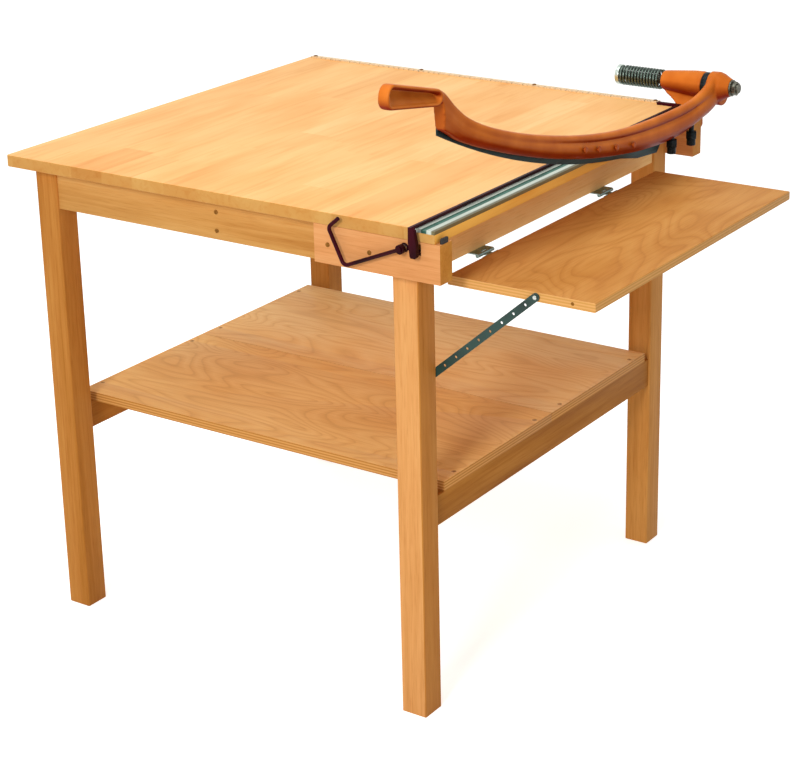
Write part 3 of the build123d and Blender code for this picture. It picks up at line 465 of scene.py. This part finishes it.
# The orange enamel's painted shade on faces that look down is a red-brown.
orange_enamel = enamel("enamel_orange_casting", "#DB7A2B", "#C8671F", 0.36, 0.3, 0.05, "#A0583F")
maroon_enamel = enamel("enamel_maroon_rod", "#3A0412", "#220309", 0.35, 0.05, 0.06)
oxide_strip = enamel("paint_green_black_strip", "#23403A", "#152623", 0.42, 0.06, 0.3)
black_rubber = rubber("rubber_black_moulded", "#121212")
print("painted", orange_enamel.name, maroon_enamel.name, oxide_strip.name)

# %% [markdown]
# ## The squaring rule
# Paper is squared against a thin strip along the back. It is printed with marks for every
# eighth, half and whole inch. A printed mark has no thickness to speak of, so it belongs in the
# material: the fraction of the distance along the strip, divided by the spacing, is near zero
# only on a mark, and the distance from the strip's front edge gives each mark its length.

# %% Printed rule
INCH = 25.4
MARKS = ((INCH / 8, 0.5, 3.0), (INCH / 2, 0.8, 5.0), (INCH, 1.2, 8.0))
rule_low, rule_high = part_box("back_rule")


def printed_rule(name):
    """Pale strip with dark marks at every eighth, half and whole inch."""
    made, tree, shader, place = new_material(name, {"Roughness": 0.4, "IOR": 1.5})
    along = calc(tree, "SUBTRACT", part_of(tree, place, "x"), rule_low.x)
    depth = calc(tree, "SUBTRACT", part_of(tree, place, "y"), rule_low.y)
    ink = None
    for spacing, thick, reach in MARKS:
        part = calc(tree, "FRACT", calc(tree, "DIVIDE", along, spacing * MM))
        mark = calc(tree, "LESS_THAN", part, thick / spacing)
        mark = calc(tree, "MULTIPLY", mark, calc(tree, "LESS_THAN", depth, reach * MM))
        ink = mark if ink is None else calc(tree, "MAXIMUM", ink, mark)
    printed = ramp(tree, ink, [(0.0, "#EBCB9C"), (1.0, "#4A3A2C")])
    tree.links.new(printed, shader.inputs["Base Color"])
    return made


rule_strip = printed_rule("strip_printed_rule")
print("rule length in inches", round((rule_high.x - rule_low.x) / (INCH * MM), 1))

# %% [markdown]
# ## Soft edges on the joinery
# A planed board has its edges eased with a pass of the plane, and a pressed part has a small
# radius. A bevel modifier does that without touching the mesh underneath. The mesh arrives with
# its faces apart and cut into slivers round every hole, so a weld comes first and a planar
# decimate joins the slivers, or the bevel would tear on them. Splitting every edge that turns
# more than a round piece's facets do keeps the flats flat and the round pieces smooth.

# %% Ease the edges
FLAT_ANGLE = 22.0
SLIVER_ANGLE = 0.5
EDGE_ANGLE = 40.0
WELD_DISTANCE = 1e-6
EASE_SEGMENTS = 2


def ease(name, width_mm):
    """Adds a small rounded bevel to a piece's sharp edges."""
    piece = nodes[name]
    weld = piece.modifiers.new("weld", "WELD")
    weld.merge_threshold = WELD_DISTANCE
    flats = piece.modifiers.new("flats", "DECIMATE")
    flats.decimate_type = "DISSOLVE"
    flats.angle_limit = math.radians(SLIVER_ANGLE)
    bevel = piece.modifiers.new("ease", "BEVEL")
    bevel.width = width_mm * MM
    bevel.segments = EASE_SEGMENTS
    bevel.limit_method = "ANGLE"
    bevel.angle_limit = math.radians(EDGE_ANGLE)
    bevel.harden_normals = False
    for face in piece.data.polygons:
        face.use_smooth = True
    crisp = piece.modifiers.new("crisp", "EDGE_SPLIT")
    crisp.split_angle = math.radians(FLAT_ANGLE)


finishes = {
    "table_top": (maple_top, 0.8),
    "leg_front_right": (maple_leg_front, 1.0),
    "leg_front_left": (maple_leg_painted_shade, 1.0),
    "leg_back_left": (maple_leg_painted_shade, 1.0),
    "leg_back_right": (maple_leg_painted_light, 1.0),
    "front_apron": (maple_apron_front, 0.8),
    "back_apron": (maple_apron_front, 0.8),
    "left_apron": (maple_apron_painted_light, 0.8),
    "right_apron": (maple_apron_painted_light, 0.8),
    "centre_rail": (maple_stretcher, 0.8),
    "corner_blocks": (maple_apron_front, 0.8),
    "shelf_stretcher_left": (maple_stretcher, 1.0),
    "shelf_stretcher_right": (maple_stretcher, 1.0),
    "shelf_cross_rail": (maple_apron_front, 1.0),
    "cutter_front_board": (maple_board, 1.2),
    "cutter_back_board": (maple_board, 1.2),
    "lower_shelf_front": (birch_lower_painted_light, 0.8),
    "lower_shelf_back": (birch_back_painted_light, 0.8),
    "side_shelf_panel": (birch_side, 0.8),
    "bed_knife": (bed_steel, 0.25),
    "back_rule": (rule_strip, 0.3),
    "arm_stop_pad": (black_rubber, 1.0),
    "clamp_bar": (maroon_enamel, 1.2),
    "clamp_lever": (maroon_enamel, 0.4),
    "clamp_lever_screw": (maroon_enamel, 0.5),
    "clamp_shaft": (zinc, 0.3),
    "clamp_finger": (black_oxide, 0.8),
    "clamp_bush": (maroon_enamel, 0.2),
    "pivot_bushes": (bronze, 0.2),
    "pivot_shaft": (dull_steel, 0.8),
    "pivot_washer": (dull_steel, 0.4),
    "pivot_nut": (dull_steel, 0.8),
    "spring_collar": (spring_end, 0.8),
    "balance_spring": (spring_steel, 0.0),
    "bracket_bolts": (zinc, 0.6),
    "blade_bolts": (painted_bolt, 0.3),
    "blade_screws": (black_oxide, 0.2),
    "adjusting_screws": (black_oxide, 0.8),
    "cutting_blade": (blade_steel, 0.3),
    "hinge_front_fixed_leaf": (hinge_zinc, 0.2),
    "hinge_back_fixed_leaf": (hinge_zinc, 0.2),
    "hinge_front_moving_leaf": (hinge_zinc, 0.2),
    "hinge_back_moving_leaf": (hinge_zinc, 0.2),
    "hinge_pins": (hinge_zinc, 0.2),
    "hinge_fixed_screws": (zinc, 0.2),
    "hinge_moving_screws": (zinc, 0.2),
    "stay_screw": (zinc, 0.3),
    "stay_stud": (zinc, 0.3),
    "shelf_end_screw": (dark_screw, 0.2),
    "shelf_stay": (oxide_strip, 0.25),
    "bed_knife_screws": (bed_steel, 0.2),
    "back_rule_screws": (dark_screw, 0.25),
    "shelf_screws": (shelf_screw, 0.2),
    "front_board_screws": (dark_screw, 0.25),
    "centre_rail_screws": (dark_screw, 0.25),
}
for name, (finish, width) in finishes.items():
    nodes[name].data.materials.clear()
    nodes[name].data.materials.append(finish)
    if width:
        ease(name, width)
print("finished", len(finishes), "of", len(nodes), "left:", sorted(set(nodes) - set(finishes)))

# %% [markdown]
# ## The cast arm
# The arm is one casting: a curved beam with a rounded back, a shallow groove along its outer
# side, a neck, a hand grip with a finger recess and a pivot boss. It could be carved with
# booleans, but a casting has no edge that a boolean would leave. So the beam is lofted through
# sections, the grip and the boss are swept and turned, and a voxel remesh with smoothing melts
# them into one skin with the fillets that a pattern maker would put in.

# %% Curves along the arm


def smooth_through(points, count):
    """Catmull-Rom points through a list, at even steps of the list's own spacing."""
    pts = np.array(points, float)
    padded = np.vstack([2 * pts[0] - pts[1], pts, 2 * pts[-1] - pts[-2]])
    out = []
    for t in np.linspace(0, len(pts) - 1 - 1e-9, count):
        i, f = int(t), t - int(t)
        a, b, c, d = padded[i:i + 4]
        out.append(
            0.5 * (2 * b + (c - a) * f + (2 * a - 5 * b + 4 * c - d) * f ** 2
                   + (3 * b - a - 3 * c + d) * f ** 3)
        )
    return np.array(out)


ARM_BACK = [
    (975, 203), (950, 189), (925, 163), (890, 136), (847, 114), (795, 94), (719, 70), (640, 49),
    (558, 30), (473, 14), (384, 2), (292, -4), (196, -6), (110, -4), (50, 8), (10, 26), (-20, 22),
]
ARM_BELLY = [
    (975, 135), (947, 121), (905, 99), (848, 75), (781, 51), (705, 26), (625, 3), (543, -17),
    (475, -32), (386, -47), (294, -59), (198, -65), (129, -63), (67, -54), (20, -46), (-20, -30),
]
LINE_STEPS = 240
back_line = smooth_through(ARM_BACK, LINE_STEPS)
belly_line = smooth_through(ARM_BELLY, LINE_STEPS)


def height_on(line, forward):
    """Height of a line at a distance forward of the pivot."""
    order = np.argsort(line[:, 0])
    return float(np.interp(forward, line[order, 0], line[order, 1]))


mid_depth = height_on(back_line, 450) - height_on(belly_line, 450)
print("arm depth at mid length", round(mid_depth, 1), "mm")

# %% Mesh helpers


def piece_from(name, build, body, finish):
    """New mesh piece made by a function that fills a bmesh, riding on a body."""
    mesh = bpy.data.meshes.new(name)
    shape = bmesh.new()
    build(shape)
    bmesh.ops.recalc_face_normals(shape, faces=shape.faces)
    shape.to_mesh(mesh)
    shape.free()
    for face in mesh.polygons:
        face.use_smooth = True
    made = bpy.data.objects.new(name, mesh)
    bpy.context.scene.collection.objects.link(made)
    made.data.materials.append(finish)
    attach(made, body)
    return made


def loft(shape, rings, closed=False):
    """Skins a list of rings of points, with end caps unless it closes on itself."""
    made = [[shape.verts.new(p) for p in ring] for ring in rings]
    pairs = list(zip(made, made[1:])) + ([(made[-1], made[0])] if closed else [])
    for ring_a, ring_b in pairs:
        for i in range(len(ring_a)):
            j = (i + 1) % len(ring_a)
            shape.faces.new((ring_a[i], ring_a[j], ring_b[j], ring_b[i]))
    if not closed:
        shape.faces.new(made[0][::-1])
        shape.faces.new(made[-1])


def melt(piece, voxel_mm, rounds):
    """Joins overlapping shells into one skin and rounds it as a casting is rounded."""
    remesh = piece.modifiers.new("one_skin", "REMESH")
    remesh.mode = "VOXEL"
    remesh.voxel_size = voxel_mm * MM
    remesh.use_smooth_shade = True
    soften = piece.modifiers.new("soften", "SMOOTH")
    soften.factor = 0.5
    soften.iterations = rounds


print("mesh helpers ready")

# %% The arm's section
THICK, NECK_THICK = 29.0, 20.5
NECK_FRONT = 961
BEAM_REAR, BEAM_STEPS = -20, 150
SECTION = [
    (0.00, 0.06), (0.06, 0.0), (0.48, 0.0), (0.58, 0.02), (0.74, 0.10), (0.90, 0.20), (0.99, 0.32),
    (1.0, 0.46), (0.98, 0.56), (0.93, 0.615), (0.86, 0.645), (0.82, 0.68), (0.85, 0.72),
    (0.92, 0.76), (0.95, 0.82), (0.92, 0.91), (0.83, 0.975), (0.68, 1.0), (0.50, 0.975),
    (0.30, 0.90), (0.13, 0.81), (0.03, 0.71), (0.0, 0.60), (0.0, 0.40),
]
GROOVE = (0.58, 0.79)
GROOVE_START, GROOVE_END = (40, 110), (430, 760)
THINNING = (800, 930)
LOWER_FILL = (890, 960)
INNER_STEP = 9.0
STEP_END, STEP_RISE = (250, 650), (0.28, 0.5)
LEAN, LEAN_BASE, LEAN_START = 0.13, 160, 900


def eased(value, start, stop):
    """0 before start, 1 after stop, and a smooth step between."""
    share = min(1.0, max(0.0, (value - start) / (stop - start)))
    return share * share * (3 - 2 * share)


def beam_rings():
    """Vertical sections of the beam, from behind the pivot to the neck's front face."""
    rings = []
    for forward in np.linspace(BEAM_REAR, NECK_FRONT, BEAM_STEPS):
        back, belly = height_on(back_line, forward), height_on(belly_line, forward)
        thick = THICK + (NECK_THICK - THICK) * eased(forward, *THINNING)
        plain = max(eased(forward, *GROOVE_END), 1 - eased(forward, *GROOVE_START))
        ring = []
        for across, up in SECTION:
            if up < 0.25 and across > 0.3:
                across += (0.95 - across) * 0.7 * eased(forward, *LOWER_FILL)
            if GROOVE[0] < up < GROOVE[1] and across > 0.5:
                across += (0.96 - across) * plain
            height = belly + (back - belly) * up
            step = INNER_STEP * (1 - eased(forward, *STEP_END)) * eased(up, *STEP_RISE)
            lean = LEAN * (height - LEAN_BASE) * eased(forward, LEAN_START, NECK_FRONT)
            ring.append(from_pivot(forward + lean, height, max(step, thick * across)))
        rings.append(ring)
    return rings


print("beam sections", BEAM_STEPS, "with", len(SECTION), "points each")

# %% The grip and the bosses
LOOP_TILT = math.radians(12.2)
LOOP_CENTRE = (1036.5, 197.5)
LOOP_HALF = (73.8, 13.8)
LOOP_CORNER = 12.5
LOOP_WALL = 3.3
LOOP_ACROSS = (10.2, 10.2)
LOOP_TAPER = 0.25
LOOP_SIDES = 24
CORNER_STEPS = 8
WALL_SQUARENESS, SIDE_SQUARENESS = 0.6, 0.45
TURNED_SIDES = 40
SCOOP_STEPS = 24
SCOOP_FILL, SCOOP_RIM = 0.85, 18.5
PIVOT_BOSS = [(7, 28), (24, 28.5), (33, 25.5), (42, 20.5), (50, 16.5)]
REAR_BOSS = [(8, 26), (27, 26)]
REAR_BOSS_PLACE = (-14, -14)
ARM_VOXEL, ARM_ROUNDS = 1.45, 9
SCOOP = [
    (1.5, -1.0), (16.4, -1.0), (15.4, -0.72), (13.0, -0.42), (9.8, -0.12), (6.8, 0.18), (4.8, 0.48),
    (3.8, 0.8), (3.6, 1.0), (1.5, 1.0),
]


def on_loop(along, up, across):
    """Point of the grip from its own length and height, which are tilted up from the level."""
    forward = LOOP_CENTRE[0] + along * math.cos(LOOP_TILT) - up * math.sin(LOOP_TILT)
    height = LOOP_CENTRE[1] + along * math.sin(LOOP_TILT) + up * math.cos(LOOP_TILT)
    return from_pivot(forward, height, across)


def scoop_rings():
    """Sections of the sloping web behind the finger recess, low at the back and high in front."""
    rings = []
    for along in np.linspace(-LOOP_HALF[0] + 2, LOOP_HALF[0] - 6, SCOOP_STEPS):
        half = (LOOP_HALF[1] - 1.0) * (1 + LOOP_TAPER * along / LOOP_HALF[0])
        fill = SCOOP_FILL * eased(along, LOOP_HALF[0] - 16, LOOP_HALF[0] - 6)
        rings.append([
            on_loop(along, up * half, across + (SCOOP_RIM - across) * fill * (across > 2))
            for across, up in SCOOP
        ])
    return rings


def loop_rings():
    """Rings round the rim of the hand grip, from its centre line and a rounded oblong section."""
    half_length, half_height = LOOP_HALF
    centre_line = []
    for quarter in range(4):
        cx = (half_length - LOOP_CORNER) * (1 if quarter in (0, 3) else -1)
        cz = (half_height - LOOP_CORNER) * (1 if quarter in (0, 1) else -1)
        for step in range(CORNER_STEPS + 1):
            angle = math.radians(90 * quarter + 90 * step / CORNER_STEPS)
            centre_line.append(
                (cx + LOOP_CORNER * math.cos(angle), cz + LOOP_CORNER * math.sin(angle), angle)
            )
    rings = []
    for along, up, angle in centre_line:
        up *= 1 + LOOP_TAPER * along / half_length
        ring = []
        for k in range(LOOP_SIDES):
            turn = 2 * math.pi * k / LOOP_SIDES
            cos, sin = math.cos(turn), math.sin(turn)
            out = LOOP_WALL * math.copysign(abs(cos) ** WALL_SQUARENESS, cos)
            side = LOOP_ACROSS[1] * math.copysign(abs(sin) ** SIDE_SQUARENESS, sin)
            shift = (out * math.cos(angle), out * math.sin(angle))
            ring.append(on_loop(along + shift[0], up + shift[1], LOOP_ACROSS[0] + side))
        rings.append(ring)
    return rings


def turned_rings(profile, centre=(0, 0)):
    """Rings of a turned piece, from (across, radius) pairs and its centre from the pivot."""
    rings = []
    for across, radius in profile:
        ring = []
        for k in range(TURNED_SIDES):
            turn = 2 * math.pi * k / TURNED_SIDES
            forward, up = radius * math.cos(turn), radius * math.sin(turn)
            ring.append(from_pivot(centre[0] + forward, centre[1] + up, across))
        rings.append(ring)
    return rings


def build_arm(shape):
    """Beam, rim of the grip, web behind its recess, pivot boss and the swelling behind it."""
    loft(shape, beam_rings())
    loft(shape, loop_rings(), closed=True)
    loft(shape, scoop_rings())
    loft(shape, turned_rings(PIVOT_BOSS))
    loft(shape, turned_rings(REAR_BOSS, REAR_BOSS_PLACE))


arm_skin = piece_from("arm_skin", build_arm, "knife_arm", orange_enamel)
melt(arm_skin, ARM_VOXEL, ARM_ROUNDS)
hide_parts("arm_casting")
print("arm", [round(v / MM) for v in arm_skin.dimensions], "mm")

# %% [markdown]
# ## The pivot bracket
# The bracket that carries the arm is a second casting: a plate bolted to the back board, a web
# that leans out from it and a barrel that tapers away from the arm. It is made as three plain
# solids that overlap, and the same melt gives them one skin with fillets. A black spacer, the
# thrust washer turned large enough to fill the gap between the barrel and the arm, gives the dark
# line where the arm turns: its black is partly the washer's own and partly painted shade for the
# gap. Its hidden end reaches a little way into the barrel, and the skin has no bore for the shaft.

# %% Plate, web and barrel
BARREL = [(-95.8, 16.5), (-93.0, 19.0), (-60.0, 22.5), (-28.0, 25.6), (-8.4, 26.0), (-5.6, 24.4)]
WEB = [
    (0, -90, -17, 10, -9), (-16, -90, -16, 12, -9), (-22, -84, -16, 13.5, -9),
    (-30, -72, -15, 15, -8), (-39, -62, -15, 17, -8), (-48, -58, -14, 18, -8),
    (-62, -57.8, -13, 18, -8), (-82, -57.5, -12, 18, -8), (-88, -57.0, -12, 18, 2),
]
PLATE = [(-58, -57.5, -12, 18, 6), (-130, -57.5, -12, 18, 6), (-132, -55.5, -14, 17, 7)]
SPACER = [(-11.4, 22.0), (-6.5, 24.0), (-5.0, 25.0), (6.0, 25.0), (8.5, 23.0)]
BRACKET_VOXEL, BRACKET_ROUNDS = 1.5, 8


def block_rings(levels):
    """Level sections from (up, left, right, front, back) in millimetres from the pivot."""
    rings = []
    for up, left, right, front, back in levels:
        corners = [(front, left), (front, right), (back, right), (back, left)]
        rings.append([from_pivot(forward, up, across) for forward, across in corners])
    return rings


def build_bracket(shape):
    """Barrel, web and plate."""
    loft(shape, turned_rings(BARREL))
    loft(shape, block_rings(WEB))
    loft(shape, block_rings(PLATE))


bracket_skin = piece_from("bracket_skin", build_bracket, "table", orange_enamel)
melt(bracket_skin, BRACKET_VOXEL, BRACKET_ROUNDS)
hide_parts("pivot_bracket")


def build_spacer(shape):
    """Turned ring between the barrel and the arm, whose black also stands in for the shade in the
    gap.
    """
    loft(shape, turned_rings(SPACER))


# Partly painted shade: the black spacer fills the gap that would show dark at the pivot.
spacer = piece_from("thrust_spacer", build_spacer, "knife_arm", black_oxide)
rims = spacer.modifiers.new("crisp", "EDGE_SPLIT")
rims.split_angle = math.radians(EDGE_ANGLE)
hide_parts("thrust_washer")
print("bracket", [round(v / MM) for v in bracket_skin.dimensions], "mm")

# %% [markdown]
# ## Camera, light and floor
# The camera stands off the front-right corner a little above the table, as a customer would.
# A soft lamp in front gives the shape, a large one overhead lights the top, a weak one fills
# from the left, and the world gives the rest. The floor is white to the camera but an ordinary
# pale surface to the light, so that the object keeps its shadow.

# %% Camera
LENS = 94.44015
SENSOR_WIDTH = 36.0
YAW, PITCH, ROLL = 34.74, 19.34, -1.31
CAMERA_PLACE = (2695.4, -2639, 1902.2)
CAMERA_SHIFT = -0.10
view = bpy.data.cameras.new("camera")
view.sensor_width = SENSOR_WIDTH
view.lens = LENS
view.shift_y = CAMERA_SHIFT
camera = bpy.data.objects.new("camera", view)
bpy.context.scene.collection.objects.link(camera)
yaw, pitch = math.radians(YAW), math.radians(PITCH)
backwards = Vector(
    (math.sin(yaw) * math.cos(pitch), -math.cos(yaw) * math.cos(pitch), math.sin(pitch))
)
camera.location = Vector(CAMERA_PLACE) * MM + Vector((top_low.x, top_low.y, 0))
camera.rotation_mode = "QUATERNION"
camera.rotation_quaternion = (-backwards).to_track_quat("-Z", "Y") @ Quaternion(
    (0, 0, 1), math.radians(ROLL)
)
view.clip_start, view.clip_end = 0.05, 60.0
bpy.context.scene.camera = camera
print("camera at", tuple(round(v, 3) for v in camera.location), "lens", round(view.lens, 1))

# %% Floor, world and lamps
FLOOR_REACH = 14.0
FLOOR_DROP = 0.0005
FLOOR_GLOW, WORLD_LIGHT = 0.62, 0.5


def seen_ray(tree):
    """1 for a ray that the camera, a reflection or a clear surface sends, and 0 for light."""
    rays = add(tree, "ShaderNodeLightPath").outputs
    direct = calc(tree, "MAXIMUM", rays["Is Camera Ray"], rays["Is Glossy Ray"])
    return calc(tree, "MAXIMUM", direct, rays["Is Transmission Ray"])


mesh = bpy.data.meshes.new("floor")
corners = [(x * FLOOR_REACH, y * FLOOR_REACH, 0) for x, y in ((-1, -1), (1, -1), (1, 1), (-1, 1))]
mesh.from_pydata(corners, [], [(0, 1, 2, 3)])
floor = bpy.data.objects.new("floor", mesh)
floor.location.z = -FLOOR_DROP
bpy.context.scene.collection.objects.link(floor)
studio = bpy.data.materials.new("studio_floor")
studio.use_nodes = True
tree = studio.node_tree
tree.nodes.clear()
matt = add(tree, "ShaderNodeBsdfDiffuse", {"Color": linear("#F4F2EF")})
glow = add(tree, "ShaderNodeEmission", {"Color": (1, 1, 1, 1), "Strength": FLOOR_GLOW})
seen = seen_ray(tree)
nothing = add(tree, "ShaderNodeEmission", {"Color": (0, 0, 0, 1), "Strength": 0.0})
extra = add(
    tree, "ShaderNodeMixShader", links={0: seen, 1: nothing.outputs[0], 2: glow.outputs[0]}
)
both = add(tree, "ShaderNodeAddShader", links={0: matt.outputs[0], 1: extra.outputs[0]})
add(tree, "ShaderNodeOutputMaterial", links={"Surface": both.outputs[0]})
floor.data.materials.append(studio)

world = bpy.data.worlds.new("studio")
world.use_nodes = True
tree = world.node_tree
tree.nodes.clear()
seen = seen_ray(tree)
soft = add(tree, "ShaderNodeBackground", {"Color": linear(WHITE), "Strength": WORLD_LIGHT})
white = add(tree, "ShaderNodeBackground", {"Color": (1, 1, 1, 1), "Strength": 1.0})
mixed = add(tree, "ShaderNodeMixShader", links={0: seen, 1: soft.outputs[0], 2: white.outputs[0]})
add(tree, "ShaderNodeOutputWorld", links={"Surface": mixed.outputs[0]})
bpy.context.scene.world = world


def lamp(name, place, aim, size, watts):
    """Square soft lamp at a place, aimed at a point."""
    data = bpy.data.lights.new(name, "AREA")
    data.shape, data.size, data.energy = "SQUARE", size, watts
    made = bpy.data.objects.new(name, data)
    made.location = place
    made.rotation_mode = "QUATERNION"
    made.rotation_quaternion = (Vector(aim) - Vector(place)).to_track_quat("-Z", "Y")
    bpy.context.scene.collection.objects.link(made)


lamp("key", place=(0.9, -4.0, 2.6), aim=(0.1, 0, 0.6), size=0.9, watts=92)
lamp("overhead", place=(-0.2, -0.4, 4.6), aim=(0, 0, 0.9), size=2.4, watts=70)
lamp("fill", place=(-3.0, -1.0, 2.0), aim=(0, 0, 0.6), size=2.0, watts=8)
bpy.context.scene.view_settings.view_transform = "Standard"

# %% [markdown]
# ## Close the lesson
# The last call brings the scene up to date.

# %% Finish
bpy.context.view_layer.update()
